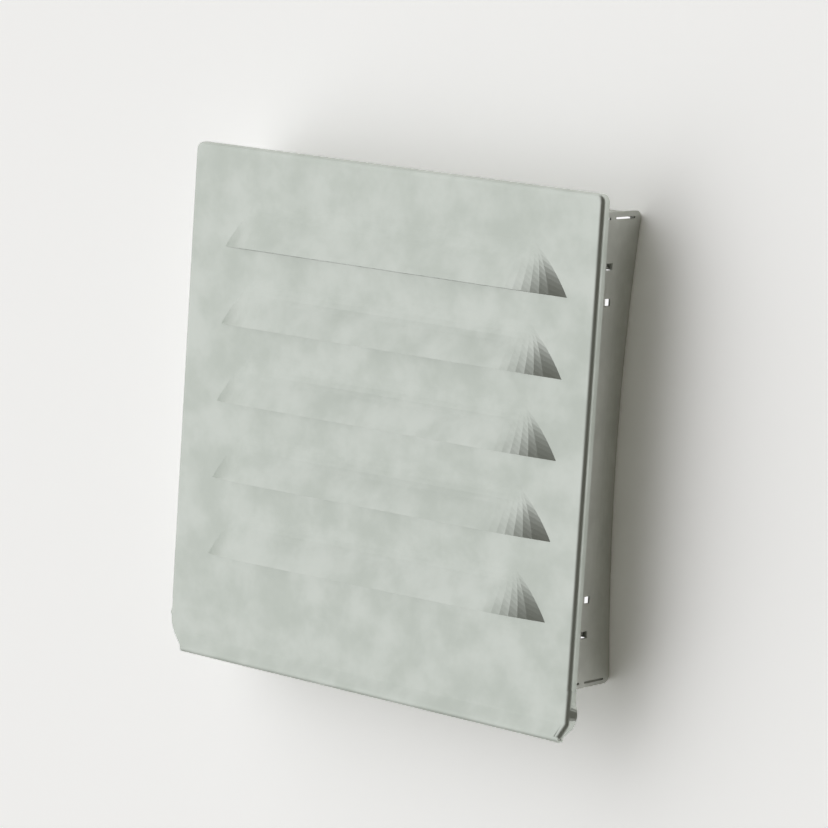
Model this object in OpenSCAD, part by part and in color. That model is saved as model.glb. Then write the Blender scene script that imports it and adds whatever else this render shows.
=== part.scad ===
// Ventilation grille of thin galvanised sheet, pressed louvres in front, square collar behind.
// X runs across the grille, Y runs back into the wall, Z is up.
// The origin is the middle of the plane in which the turned edge meets the wall.

/* [Sheet] */
// Thickness of every sheet
sheet_t = 0.6; // [0.5:0.1:0.8]

/* [Front plate] */
// Width of the front plate
plate_w = 162; // [160:1:180]
// Height of the flat face, from its top edge to the bend of the lip
plate_h = 161; // [160:0.5:175]
// Depth of the turned edge, from the wall to the face
edge_depth = 3.2; // [2.8:0.1:5]
// Outer radius of the roll along the turned edge
edge_r = 1.7; // [1.4:0.1:2.2]
// Radius of the two upper corners, seen from the front
corner_r = 2.6; // [2.4:0.1:5]

/* [Louvres] */
// Number of louvres
louvre_count = 5; // [1:1:5]
// Distance from one louvre to the next
louvre_pitch = 25; // [22:0.5:26]
// Distance from the top edge down to the first cut
first_cut = 32.5; // [28:0.5:36]
// Length of each cut, tip to tip
cut_w = 135.8; // [110:0.2:138]
// Width of the flat front of a louvre
front_w = 109.6; // [80:0.2:112]
// Height of a louvre above its cut
louvre_h = 15.7; // [12:0.1:18]
// How far the free lip stands out of the face
louvre_out = 7; // [4:0.1:9]
// How far the free lip is drawn up above the cut
lip_lift = 1.1; // [0:0.1:2]
// Sideways shift of the whole row of louvres
louvre_shift = 1.9; // [0:0.1:2]

/* [Drip lip] */
// Height that the lip drops below the bend
drip_drop = 6.2; // [6:0.1:10]
// Distance that the lip leans out in front of the face
drip_out = 3.5; // [1:0.1:6]
// How far the lip's left end is cut in at the bend and at the bottom
mitre_left = [1, 6.6];
// How far the lip's right end is cut in at the bend and at the bottom
mitre_right = [0, 1.3];
// Radius of the roll along the lip's lower edge
hem_r = 1.5; // [1.2:0.1:1.8]
// Width of the strip that the roll turns back towards the wall
hem_w = 2; // [1:0.1:3]
// Angle by which the bend runs out of square, lower on the right
drip_skew = 0.8; // [0:0.1:1]

/* [Dents beside the lip] */
// Angle by which the turned edge is forced open on the left
dent_left = 50; // [0:5:60]
// Height above the bend of the middle of the left dent
dent_left_up = 5; // [4:0.5:6]
// Angle by which the turned edge is forced open on the right
dent_right = 40; // [0:5:60]
// Height above the bend of the middle of the right dent
dent_right_up = 2.5; // [1:0.5:6]

/* [Collar] */
// Outer width of the collar
collar_w = 148.6; // [140:0.2:149.6]
// Outer height of the collar
collar_h = 147.6; // [146:0.2:149.6]
// Depth of the collar behind the wall plane
collar_depth = 26.8; // [25:0.2:40]
// Height of the collar's middle above the origin
collar_z = 0.2; // [-1:0.2:1]
// Width of the flanges that are spot-welded to the plate's back
flange_w = 5; // [4:0.5:6]
// Radius of the rear corners of the side walls
wall_corner_r = 3; // [1:0.5:4]
// How far the rear edge of a side wall is drawn inwards at mid height
wall_bow = 3.2; // [0.5:0.1:4]

/* [Tabs and lugs] */
// Length of the tabs and of their slots
tab_len = 10; // [8:0.5:10]
// Distance between the two slots of a corner
tab_gap = 2.8; // [2:0.1:4]
// Distance from the rear edge to the rear slot
tab_rear = 3.4; // [3:0.1:5]
// Height of a slot
slot_h = 1.3; // [1:0.1:1.6]
// Metal between the lower slots and the wall's bottom edge
slot_edge_low = 0.6; // [0.5:0.1:2.5]
// Metal between the upper slots and the wall's top edge
slot_edge_top = 1.1; // [0.5:0.1:2.5]
// Heights of the lug windows above and below the collar's middle
lug_heights = [46.1, 57];
// Height of a lug window
lug_h = 2.2; // [1.6:0.1:3]
// Length of a lug window, front to back
lug_len = 3.2; // [3:0.1:4]
// Distance from the wall plane to the lug windows
lug_y = 9.9; // [9:0.1:10]

/* [Screen] */
// Distance between neighbouring wires
wire_pitch = 6.3; // [5:0.1:12]
// Diameter of the wires
wire_d = 1; // [0.8:0.1:1]

/* [Hidden] */
$fn = 48;
zinc = [0.78, 0.81, 0.78];
zinc_dull = [0.56, 0.55, 0.51];
wire_grey = [0.6, 0.61, 0.6];
eps = 0.01;

// Places on the face, measured up from the origin
face_top = plate_h / 2;
face_bend = -plate_h / 2;
roll_in = plate_w / 2 - edge_r;
strip_w = edge_r * PI / 2 + edge_depth - edge_r;

// Louvre surface: rows from the top bend to the lip, columns from the middle to past the tip
bend_share = 0.42;
shoulder_w = 8.5;
shoulder_share = 0.62;
end_bulge = 0.3;
ring = 0.7;
louvre_rows = 9;
shoulder_cols = 6;
row_share = [for (j = [0 : louvre_rows]) j / louvre_rows];
col_key = [for (k = [0 : shoulder_cols]) k / shoulder_cols];

// Lip profile
lean = atan(drip_out / drip_drop);
lip_bend_r = 1.2;
lip_tail = 3;
hem_turn = 90 + lean;
arc_step = 8;
tangent = hem_r * tan(hem_turn / 2);
slope_len = drip_drop / cos(lean) - lip_bend_r * tan(lean / 2) - tangent;

// Side strip beside the lip
strip_top = 10;
strip_lap = 0.8;
strip_cols = 8;
strip_end_w = 2.4;
dent_left_len = 3.6;
dent_right_len = 5;
bend_len = lip_bend_r * lean * PI / 180;
lip_len = bend_len + slope_len;
station_count = [12, 3, 6];
stations = concat(
    [for (i = [0 : station_count[0] - 1]) -strip_top * (1 - i / station_count[0])],
    [for (i = [0 : station_count[1] - 1]) bend_len * i / station_count[1]],
    [for (i = [0 : station_count[2]]) bend_len + slope_len * i / station_count[2]]);

// Collar places
half_w = collar_w / 2;
half_h = collar_h / 2;
back_y = sheet_t - edge_depth;
bow_start = lug_y + lug_len;
fold_r = 1.2;
slot_edges = [slot_edge_low, slot_edge_top];
wall_in = max(slot_edges) + sheet_t;
rear_slot_y = collar_depth - tab_rear - tab_len;
front_slot_y = rear_slot_y - tab_gap - tab_len;
bow_rows = 6;
bow_cols = 24;
lug_bend = 0.3;
lug_side = 0.1;
wire_sides = 8;
screen_play = 0.3;
weld = 0.05;

// Section of the turned edge: x is outwards, y is height above the wall plane
module edge_section() {
    translate([-edge_r, edge_depth - edge_r])
        intersection() {
            difference() {
                circle(edge_r);
                circle(edge_r - sheet_t);
            }
            square(edge_r);
        }
    translate([-sheet_t, 0])
        square([sheet_t, edge_depth - edge_r]);
}

// Turned edge along the side, running down from the height at_top
module side_edge(at_top, at_bottom) {
    translate([plate_w / 2, at_top, 0])
        rotate([90, 0, 0])
            linear_extrude(at_top - at_bottom)
                edge_section();
}

module top_edge() {
    translate([-plate_w / 2 + corner_r, face_top, 0])
        rotate([0, 0, 90])
            rotate([90, 0, 0])
                linear_extrude(plate_w - 2 * corner_r)
                    edge_section();
}

module top_corner() {
    translate([plate_w / 2 - corner_r, face_top - corner_r, 0])
        rotate_extrude(angle = 90)
            translate([corner_r, 0])
                edge_section();
}

// Height of the slanting bend at the place x
function bend_at(x) = face_bend - x * tan(drip_skew);

// Flat part of the face, inside the roll and down to just above the bend
module face_outline() {
    nib = corner_r - edge_r;
    difference() {
        polygon([
            [-roll_in, face_top - edge_r],
            [roll_in, face_top - edge_r],
            [roll_in, bend_at(roll_in) + lip_tail / 2],
            [-roll_in, bend_at(-roll_in) + lip_tail / 2]
        ]);
        for (side = [-1, 1])
            translate([side * (roll_in - nib), face_top - edge_r - nib])
                difference() {
                    translate([side > 0 ? 0 : -nib, 0])
                        square(nib);
                    circle(nib);
                }
    }
}

// Half width of a louvre at the share s of its height, from bend to cut
function half_at(s) = front_w / 2 + (cut_w - front_w) / 2 * (s + end_bulge * s * (1 - s));
// Share of the full throw at s: a bend that runs into a straight slope
function throw_at(s) =
    (s < bend_share ? s * s / (2 * bend_share) : s - bend_share / 2) / (1 - bend_share / 2);
// Rounded shoulder between the front and the end: t runs from 0 to 1, giving place and share of throw
function shoulder_x(s, t) =
    let (c = front_w / 2, e = c + shoulder_share * (half_at(s) - c))
    (1 - t) * (1 - t) * (c - shoulder_w) + 2 * t * (1 - t) * c + t * t * e;
function shoulder_share_at(t) = 1 - shoulder_share * t * t;
// One row of [x, share of throw] from the middle outwards
function half_row(s) = concat(
    [for (t = col_key) [shoulder_x(s, t), shoulder_share_at(t)]],
    [[half_at(s), 0], [half_at(s) + ring, 0]]);
function full_row(s) =
    let (right = half_row(s), n = len(right))
    concat([for (k = [n - 1 : -1 : 0]) [-right[k][0], right[k][1]]], right);
// Point of the outer surface, with the cut as zero height and the face as zero throw
function louvre_point(s, c) =
    [c[0], louvre_h - s * (louvre_h - lip_lift * c[1]), louvre_out * throw_at(s) * c[1]];

// Solid between two sheets of points, each given row by row
module sheet_solid(front, back, rows, cols) {
    count = rows * cols;
    last = rows - 1;
    // the points round the edge, in order
    rim = concat(
        [for (k = [0 : cols - 1]) k],
        [for (j = [1 : last]) j * cols + cols - 1],
        [for (k = [cols - 2 : -1 : 0]) last * cols + k],
        [for (j = [last - 1 : -1 : 1]) j * cols]);
    cells = [for (j = [0 : last - 1]) for (k = [0 : cols - 2]) j * cols + k];
    polyhedron(
        points = concat(front, back),
        faces = concat(
            [for (a = cells) [a, a + 1, a + cols + 1]],
            [for (a = cells) [a, a + cols + 1, a + cols]],
            [for (a = cells) [a + count, a + count + cols + 1, a + count + 1]],
            [for (a = cells) [a + count, a + count + cols, a + count + cols + 1]],
            [for (i = [0 : len(rim) - 1]) [rim[(i + 1) % len(rim)], rim[i], rim[i] + count]],
            [for (i = [0 : len(rim) - 1])
                let (b = rim[(i + 1) % len(rim)])
                [b, rim[i] + count, b + count]]),
        convexity = 6);
}

// One pressed louvre, with a flat ring round it that lies in the face
module louvre() {
    rows = concat([[0, ring]], [for (s = row_share) [s, 0]]);
    layer = [for (r = rows) for (c = full_row(r[0])) louvre_point(r[0], c) + [0, r[1], 0]];
    front = [for (p = layer) p + [0, 0, edge_depth]];
    back = [for (p = layer) p + [0, 0, edge_depth - sheet_t]];
    sheet_solid(front, back, len(rows), len(full_row(0)));
}

// Opening in the face behind one louvre
module louvre_window() {
    right = [for (s = row_share) [half_at(s), louvre_h * (1 - s)]];
    left = [for (s = row_share) [-half_at(s), louvre_h * (1 - s)]];
    polygon(concat([for (i = [louvre_rows : -1 : 0]) left[i]], right));
}

function cut_at(i) = face_top - first_cut - i * louvre_pitch;

module flat_face() {
    translate([0, 0, edge_depth - sheet_t])
        linear_extrude(sheet_t)
            difference() {
                face_outline();
                for (i = [0 : louvre_count - 1])
                    translate([louvre_shift, cut_at(i)])
                        louvre_window();
            }
}

// Profile of the drip lip, front side and then back side: y is up the face, z is out of it
function arc_points(cy, cz, r, from, to) =
    let (n = max(2, ceil(abs(to - from) / arc_step)))
    [for (i = [0 : n]) let (a = from + (to - from) * i / n) [cy + r * cos(a), cz + r * sin(a)]];

module drip_profile() {
    // ends of the slope, between the bend above it and the roll below it
    slope_end = [-drip_drop + tangent * cos(lean), drip_out - tangent * sin(lean)];
    hem_y = slope_end[0] - hem_r * sin(lean);
    hem_z = slope_end[1] - hem_r * cos(lean);
    polygon(concat(
        [[lip_tail, 0]],
        arc_points(0, lip_bend_r, lip_bend_r, -90, -90 - lean),
        arc_points(hem_y, hem_z, hem_r, 90 - lean, 180),
        [[hem_y - hem_r, hem_z - hem_w], [hem_y - hem_r + sheet_t, hem_z - hem_w]],
        arc_points(hem_y, hem_z, hem_r - sheet_t, 180, 90 - lean),
        arc_points(0, lip_bend_r, lip_bend_r + sheet_t, -90 - lean, -90),
        [[lip_tail, -sheet_t]]));
}

// Outer edge of the lip's end at the distance s along the lip, from the bend down
function end_at(s, mitre) =
    let (step = min(1, max(0, 1 + s / lip_tail)), t = max(0, s) / lip_len)
    plate_w / 2 - mitre[0] * step - (mitre[1] - mitre[0]) * t;

// The front of the lip at s: [height, out, tilt]
function drip_at(s) =
    s < 0 ? [-s, 0, 0] :
    s < bend_len ?
        let (a = s / bend_len * lean) [-lip_bend_r * sin(a), lip_bend_r * (1 - cos(a)), a] :
        let (d = s - bend_len)
        [-lip_bend_r * sin(lean) - d * cos(lean), lip_bend_r * (1 - cos(lean)) + d * sin(lean), lean];

// A hump of height 1 round mid
function hump(s, mid, reach) = abs(s - mid) < reach ? pow(cos(90 * (s - mid) / reach), 2) : 0;

// Section of the turned edge as [outwards, back] points, turned by an angle and w wide along the sheet
function strip_section(turn, w, r) =
    let (straight = w - edge_r * turn * PI / 180)
    concat(
        [[-edge_r - strip_lap, edge_r - r]],
        [for (i = [0 : strip_cols])
            let (a = turn * i / strip_cols)
            [-edge_r + r * sin(a), edge_r - r * cos(a)]],
        [[-edge_r + r * sin(turn) + straight * cos(turn), edge_r - r * cos(turn) + straight * sin(turn)]]);

// Turned edge beside the lip, forced open above the bend and narrower towards the bottom
module end_strip(mitre, dent, dent_up, dent_len) {
    function layer(r) = [for (s = stations)
        let (
            at = drip_at(s),
            w = strip_w + (strip_end_w - strip_w) * max(0, s) / lip_len,
            turn = 90 - dent * hump(s, -dent_up, dent_len))
        for (c = strip_section(turn, w, r))
            [end_at(s, mitre) + c[0], at[0] - c[1] * sin(at[2]), at[1] - c[1] * cos(at[2])]];
    sheet_solid(layer(edge_r), layer(edge_r - sheet_t), len(stations), strip_cols + 3);
}

// Cuts the lip off at its right end, inside the roll above and nearly at the edge below
module end_cut(mitre) {
    inset = edge_r + strip_lap / 2;
    low = drip_at(lip_len)[0];
    far = plate_w;
    translate([0, 0, -3 * edge_depth])
        linear_extrude(6 * edge_depth)
            polygon([
                [end_at(-lip_tail, mitre) - inset, 2 * lip_tail],
                [end_at(-lip_tail, mitre) - inset, lip_tail - eps],
                [end_at(0, mitre) - inset, 0],
                [end_at(lip_len, mitre) - inset, low],
                [end_at(lip_len, mitre) - sheet_t, low],
                [end_at(lip_len, mitre) - edge_r, -2 * drip_drop],
                [far, -2 * drip_drop],
                [far, 2 * lip_tail]
            ]);
}

// Lip with its turned ends
module drip_lip() {
    translate([0, face_bend, edge_depth])
        rotate([0, 0, -drip_skew]) {
            difference() {
                rotate([90, 0, 90])
                    linear_extrude(plate_w + 2, center = true)
                        drip_profile();
                end_cut(mitre_right);
                mirror([1, 0, 0])
                    end_cut(mitre_left);
            }
            end_strip(mitre_right, dent_right, dent_right_up, dent_right_len);
            mirror([1, 0, 0])
                end_strip(mitre_left, dent_left, dent_left_up, dent_left_len);
        }
}

module front_plate() {
    color(zinc)
        rotate([90, 0, 0]) {
            flat_face();
            top_edge();
            top_corner();
            mirror([1, 0, 0])
                top_corner();
            side_edge(face_top - corner_r, bend_at(plate_w / 2) + strip_top);
            mirror([1, 0, 0])
                side_edge(face_top - corner_r, bend_at(-plate_w / 2) + strip_top);
            drip_lip();
            for (i = [0 : louvre_count - 1])
                translate([louvre_shift, cut_at(i), 0])
                    louvre();
        }
}

// Folded corner of a wall, seen along the fold: x is outwards, y is depth
module fold_section(flange, depth) {
    translate([-fold_r, back_y + fold_r])
        intersection() {
            difference() {
                circle(fold_r);
                circle(fold_r - sheet_t);
            }
            translate([0, -fold_r])
                square(fold_r);
        }
    translate([-flange, back_y])
        square([flange - fold_r, sheet_t]);
    translate([-sheet_t, back_y + fold_r])
        square([sheet_t, depth - back_y - fold_r]);
}

// Inward draw of the side wall's free edge at the depth y and the height z
function bow_at(y, z) =
    let (d = (y - bow_start) / (collar_depth - bow_start), h = z / (half_h - wall_in))
    -wall_bow * d * d * max(0, 1 - h * h);

// Rear part of a side wall, a sheet drawn inwards between its corners
module bowed_sheet() {
    ys = [for (j = [0 : bow_rows]) bow_start + (collar_depth - bow_start) * j / bow_rows];
    edge = half_h - wall_in;
    zs = concat([-half_h], [for (k = [0 : bow_cols]) edge * (2 * k / bow_cols - 1)], [half_h]);
    cols = len(zs);
    outer = [for (y = ys) for (z = zs) [half_w + bow_at(y, z), y, z]];
    inner = [for (p = outer) p - [sheet_t, 0, 0]];
    sheet_solid(outer, inner, bow_rows + 1, cols);
}

// Distance of the slots from the collar's middle: end is 1 at the top and -1 at the bottom
function slot_middle(end) = half_h - slot_edges[(end + 1) / 2] - slot_h / 2;

// Slots for the tabs, windows of the lugs and the rounded rear corners
module side_wall_cuts() {
    for (end = [-1, 1]) {
        for (y = [front_slot_y, rear_slot_y])
            translate([half_w - 2 * sheet_t, y, end * slot_middle(end) - slot_h / 2])
                cube([4 * sheet_t, tab_len, slot_h]);
        for (z = lug_heights)
            translate([half_w - 2 * sheet_t, lug_y, end * z - lug_h / 2])
                cube([4 * sheet_t, lug_len, lug_h]);
        translate([half_w, collar_depth - wall_corner_r, end * (half_h - wall_corner_r)])
            rotate([0, 90, 0])
                difference() {
                    translate([end > 0 ? -2 * wall_corner_r : 0, 0, -2 * wall_bow])
                        cube([2 * wall_corner_r, 2 * wall_corner_r, 4 * wall_bow]);
                    cylinder(r = wall_corner_r, h = 5 * wall_bow, center = true);
                }
    }
}

// Lug: a tongue of the wall bent inwards, hinged at the front edge of its window
module lug() {
    bend = sheet_t + lug_bend;
    translate([-bend, bend, lug_side]) {
        rotate([0, 0, -90])
            rotate_extrude(angle = 90)
                translate([lug_bend, 0])
                    square([sheet_t, lug_h - 2 * lug_side]);
        translate([-lug_len + bend, -bend, 0])
            cube([lug_len - bend, sheet_t, lug_h - 2 * lug_side]);
    }
}

// One lug of each pair stands before the screen, the other behind it
module lugs() {
    for (end = [-1, 1]) {
        translate([half_w, lug_y - lug_bend, end * lug_heights[0] - lug_h / 2])
            lug();
        translate([half_w, lug_y + lug_len + lug_bend, end * lug_heights[1] - lug_h / 2])
            mirror([0, 1, 0])
                lug();
    }
}

// Right-hand wall of the collar; the left-hand one is its mirror image
module side_wall() {
    difference() {
        union() {
            translate([half_w, 0, -half_h])
                linear_extrude(2 * half_h)
                    fold_section(flange_w, bow_start);
            bowed_sheet();
        }
        side_wall_cuts();
        // the flange stops short of the flanges of the top and bottom walls
        for (end = [0, 1])
            mirror([0, 0, end])
                translate([half_w - 2 * flange_w, back_y - sheet_t, half_h - wall_in - flange_w])
                    cube([2 * flange_w - fold_r, 2 * sheet_t + lug_bend, 2 * flange_w]);
    }
    lugs();
}

module collar_right_wall() {
    color(zinc_dull)
        translate([0, 0, collar_z])
            side_wall();
}

module collar_left_wall() {
    color(zinc_dull)
        translate([0, 0, collar_z])
            mirror([1, 0, 0])
                side_wall();
}

// Top wall: a folded strip between the side walls, with two tabs at each end
module end_wall(edge) {
    inner = half_w - sheet_t;
    top = half_h - edge;
    difference() {
        rotate([0, -90, 0])
            translate([top, 0, -inner])
                linear_extrude(2 * inner)
                    fold_section(flange_w, collar_depth);
        // the ends of the fold stop at the folds of the side walls
        for (side = [0, 1])
            mirror([side, 0, 0])
                translate([half_w - fold_r, back_y - sheet_t, 0])
                    cube([2 * fold_r, sheet_t + fold_r, 2 * half_h]);
    }
    for (side = [0, 1])
        mirror([side, 0, 0])
            for (y = [front_slot_y, rear_slot_y])
                translate([inner - sheet_t, y, top - sheet_t])
                    cube([2 * sheet_t, tab_len, sheet_t]);
}

module collar_top_wall() {
    color(zinc_dull)
        translate([0, 0, collar_z])
            end_wall(slot_edge_top);
}

module collar_bottom_wall() {
    color(zinc_dull)
        translate([0, 0, collar_z])
            mirror([0, 0, 1])
                end_wall(slot_edge_low);
}

// Wires of the screen along one direction, a span apart from end to end
module wires(span, across) {
    cells = floor(across / wire_pitch);
    for (i = [0 : cells])
        translate([(i - cells / 2) * wire_pitch, 0, 0])
            rotate(180 / wire_sides)
                cylinder(d = wire_d / cos(180 / wire_sides), h = span, center = true, $fn = wire_sides);
}

// Welded wire screen: the upright wires lie in front of the level ones
module insect_screen() {
    span_x = 2 * (half_w - sheet_t - screen_play);
    span_z = 2 * (half_h - wall_in - screen_play);
    color(wire_grey)
        translate([0, lug_y + sheet_t + wire_d / 2, collar_z]) {
            wires(span_z, span_x - wire_d);
            translate([0, wire_d - weld, 0])
                rotate([0, 90, 0])
                    wires(span_x, span_z - wire_d);
        }
}

front_plate();
collar_left_wall();
collar_right_wall();
collar_top_wall();
collar_bottom_wall();
insect_screen();
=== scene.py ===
"""A pressed sheet-steel ventilation grille against a white wall, in metres, in the part's own frame."""
import math

import bpy
from mathutils import Matrix, Vector


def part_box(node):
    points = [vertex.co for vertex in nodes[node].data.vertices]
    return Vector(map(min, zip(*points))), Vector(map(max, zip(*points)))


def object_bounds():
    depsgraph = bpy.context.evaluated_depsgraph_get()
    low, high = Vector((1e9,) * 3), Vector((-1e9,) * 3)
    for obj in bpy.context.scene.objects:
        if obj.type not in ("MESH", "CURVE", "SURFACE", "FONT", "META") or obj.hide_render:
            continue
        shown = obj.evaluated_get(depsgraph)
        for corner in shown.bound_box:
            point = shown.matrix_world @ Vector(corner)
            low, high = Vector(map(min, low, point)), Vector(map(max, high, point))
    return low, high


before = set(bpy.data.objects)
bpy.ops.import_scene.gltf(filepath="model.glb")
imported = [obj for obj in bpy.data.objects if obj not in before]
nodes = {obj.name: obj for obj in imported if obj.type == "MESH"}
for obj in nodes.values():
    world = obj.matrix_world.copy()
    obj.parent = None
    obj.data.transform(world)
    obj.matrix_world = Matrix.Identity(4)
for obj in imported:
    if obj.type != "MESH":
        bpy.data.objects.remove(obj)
cad_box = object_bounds()

MM = 0.001
IMAGE_SIDE = 828
SENSOR_WIDTH = 36.0

# Camera, found from the photograph's straight edges
FOCAL_PIXELS = 4390.0
AZIMUTH = math.radians(37.564)
ELEVATION = math.radians(8.278)
ROLL = math.radians(3.611)
AIM = Vector((14.41, -3.2, 4.78)) * MM
DISTANCE = 1365.42 * MM

# Wall and light
WALL_SIDE = 3.0
WALL_GAP = 0.0002
WALL_DIFFUSE = 0.8
WALL_SHOWN = 1.75
LIGHT_LEVEL = 1.0


def make_camera():
    """The photograph's camera: aim, turn, tilt and roll."""
    back = Vector((math.sin(AZIMUTH) * math.cos(ELEVATION),
                   -math.cos(AZIMUTH) * math.cos(ELEVATION),
                   math.sin(ELEVATION)))
    right = Vector((math.cos(AZIMUTH), math.sin(AZIMUTH), 0))
    up = back.cross(right)
    turned_right = right * math.cos(ROLL) + up * math.sin(ROLL)
    turned_up = up * math.cos(ROLL) - right * math.sin(ROLL)
    data = bpy.data.cameras.new("camera")
    data.sensor_width = SENSOR_WIDTH
    data.lens = SENSOR_WIDTH * FOCAL_PIXELS / IMAGE_SIDE
    data.clip_start = 0.05
    data.clip_end = 20
    camera = bpy.data.objects.new("camera", data)
    bpy.context.scene.collection.objects.link(camera)
    pose = Matrix((turned_right, turned_up, back)).transposed().to_4x4()
    pose.translation = AIM + back * DISTANCE
    camera.matrix_world = pose
    bpy.context.scene.camera = camera


class Nodes:
    """Short calls for making and joining a tree's nodes."""

    def __init__(self, tree):
        self.tree = tree
        tree.nodes.clear()

    def put(self, socket, value):
        if isinstance(value, bpy.types.NodeSocket):
            self.tree.links.new(value, socket)
        else:
            socket.default_value = value

    def add(self, kind, inputs=None, **settings):
        node = self.tree.nodes.new(kind)
        for name, value in settings.items():
            setattr(node, name, value)
        for name, value in (inputs or {}).items():
            self.put(node.inputs[name], value)
        return node

    def maths(self, operation, a, b=0.0, c=0.0, clamp=False):
        node = self.add("ShaderNodeMath", {0: a, 1: b, 2: c}, operation=operation, use_clamp=clamp)
        return node.outputs[0]

    def vector(self, operation, a, b=(0, 0, 0)):
        node = self.add("ShaderNodeVectorMath", {0: a, 1: b}, operation=operation)
        return node.outputs["Value" if operation in ("DOT_PRODUCT", "LENGTH") else "Vector"]

    def span(self, value, low, high, out_low=0.0, out_high=1.0, smooth=True):
        """value, remapped so that low gives out_low and high gives out_high, held beyond them."""
        node = self.add("ShaderNodeMapRange",
                        {"Value": value, "From Min": low, "From Max": high,
                         "To Min": out_low, "To Max": out_high},
                        interpolation_type="SMOOTHSTEP" if smooth else "LINEAR")
        return node.outputs["Result"]

    def mix(self, share, a, b):
        """Between colours a and b."""
        node = self.add("ShaderNodeMix", data_type="RGBA")
        for index, value in ((0, share), (6, a), (7, b)):
            self.put(node.inputs[index], value)
        return node.outputs[2]

    def noise(self, where, scale, detail=3.0, rough=0.5, distortion=0.0):
        node = self.add("ShaderNodeTexNoise",
                        {"Vector": where, "Scale": scale, "Detail": detail,
                         "Roughness": rough, "Distortion": distortion})
        return node.outputs["Fac"]


def make_world():
    """A white studio that is bright at the left and dim behind the camera and at its right."""
    world = bpy.data.worlds.new("studio")
    bpy.context.scene.world = world
    world.use_nodes = True
    n = Nodes(world.node_tree)
    direction = n.add("ShaderNodeTexCoord").outputs["Generated"]
    toward_lamp = n.vector("DOT_PRODUCT", direction, (-0.85, -0.5, 0.17))
    bright = n.span(toward_lamp, 0.25, 0.75)
    tone = n.mix(bright, (0.12, 0.115, 0.10, 1), (1.0, 1.0, 1.0, 1))
    path = n.add("ShaderNodeLightPath").outputs
    shown = n.maths("MAXIMUM", path["Is Camera Ray"], path["Is Transmission Ray"])
    studio = n.add("ShaderNodeBackground", {"Color": tone, "Strength": LIGHT_LEVEL})
    white = n.add("ShaderNodeBackground", {"Color": (1, 1, 1, 1), "Strength": 1.0})
    both = n.add("ShaderNodeMixShader", {0: shown, 1: studio.outputs[0], 2: white.outputs[0]})
    n.add("ShaderNodeOutputWorld", {"Surface": both.outputs[0]})


def make_wall():
    """A white wall at the collar's rear edge, open inside the collar, seen only from its front."""
    low, high = cad_box
    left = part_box("collar_left_wall")
    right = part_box("collar_right_wall")
    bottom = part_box("collar_bottom_wall")
    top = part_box("collar_top_wall")
    inset = 1.5 * MM
    hole = (left[0].x + inset * 3, right[1].x - inset * 3, bottom[0].z + inset, top[1].z - inset)
    far = WALL_SIDE / 2
    y = high.y + WALL_GAP
    xs = (-far, hole[0], hole[1], far)
    zs = (-far, hole[2], hole[3], far)
    points = [(x, y, z) for z in zs for x in xs]
    faces = [(4 * r + c, 4 * r + c + 1, 4 * r + c + 5, 4 * r + c + 4)
             for r in range(3) for c in range(3) if (r, c) != (1, 1)]
    mesh = bpy.data.meshes.new("wall")
    mesh.from_pydata(points, [], faces)
    wall = bpy.data.objects.new("wall", mesh)
    bpy.context.scene.collection.objects.link(wall)
    material = bpy.data.materials.new("white_wall")
    material.use_nodes = True
    n = Nodes(material.node_tree)
    path = n.add("ShaderNodeLightPath").outputs
    seen = n.maths("MAXIMUM", path["Is Camera Ray"], path["Is Glossy Ray"])
    seen = n.maths("MAXIMUM", seen, path["Is Transmission Ray"])
    tone = n.mix(seen, (WALL_DIFFUSE,) * 3 + (1,), (WALL_SHOWN,) * 3 + (1,))
    paint = n.add("ShaderNodeBsdfDiffuse", {"Color": tone})
    clear = n.add("ShaderNodeBsdfTransparent")
    behind = n.add("ShaderNodeNewGeometry").outputs["Backfacing"]
    both = n.add("ShaderNodeMixShader", {0: behind, 1: paint.outputs[0], 2: clear.outputs[0]})
    n.add("ShaderNodeOutputMaterial", {"Surface": both.outputs[0]})
    mesh.materials.append(material)


def zinc(name, pale, dull, roughness):
    """Galvanised sheet: faint cloudy mottling in tone and roughness."""
    material = bpy.data.materials.new(name)
    material.use_nodes = True
    n = Nodes(material.node_tree)
    where = n.add("ShaderNodeTexCoord").outputs["Object"]
    clouds = n.noise(where, 70, 4, 0.6)
    tone = n.mix(n.span(clouds, 0.3, 0.7), dull, pale)
    shine = n.span(clouds, 0.3, 0.7, roughness + 0.04, roughness - 0.04)
    metal = n.add("ShaderNodeBsdfPrincipled",
                  {"Base Color": tone, "Metallic": 1.0, "Roughness": shine})
    n.add("ShaderNodeOutputMaterial", {"Surface": metal.outputs[0]})
    return material


def dress(names, material):
    """Gives CAD nodes a material in every slot."""
    for name in names:
        slots = nodes[name].data.materials
        if len(slots) == 0:
            slots.append(material)
        for k in range(len(slots)):
            slots[k] = material


make_camera()
make_world()
make_wall()
face_zinc = zinc("zinc_face", (0.62, 0.655, 0.61, 1), (0.56, 0.60, 0.55, 1), 0.36)
collar_zinc = zinc("zinc_collar", (0.60, 0.61, 0.57, 1), (0.53, 0.54, 0.50, 1), 0.42)
wire_zinc = zinc("zinc_wire", (0.60, 0.61, 0.58, 1), (0.48, 0.49, 0.46, 1), 0.35)
dress(["front_plate"], face_zinc)
dress(["collar_left_wall", "collar_right_wall", "collar_top_wall", "collar_bottom_wall"], collar_zinc)
dress(["insect_screen"], wire_zinc)

bpy.context.scene.view_settings.view_transform = "Standard"
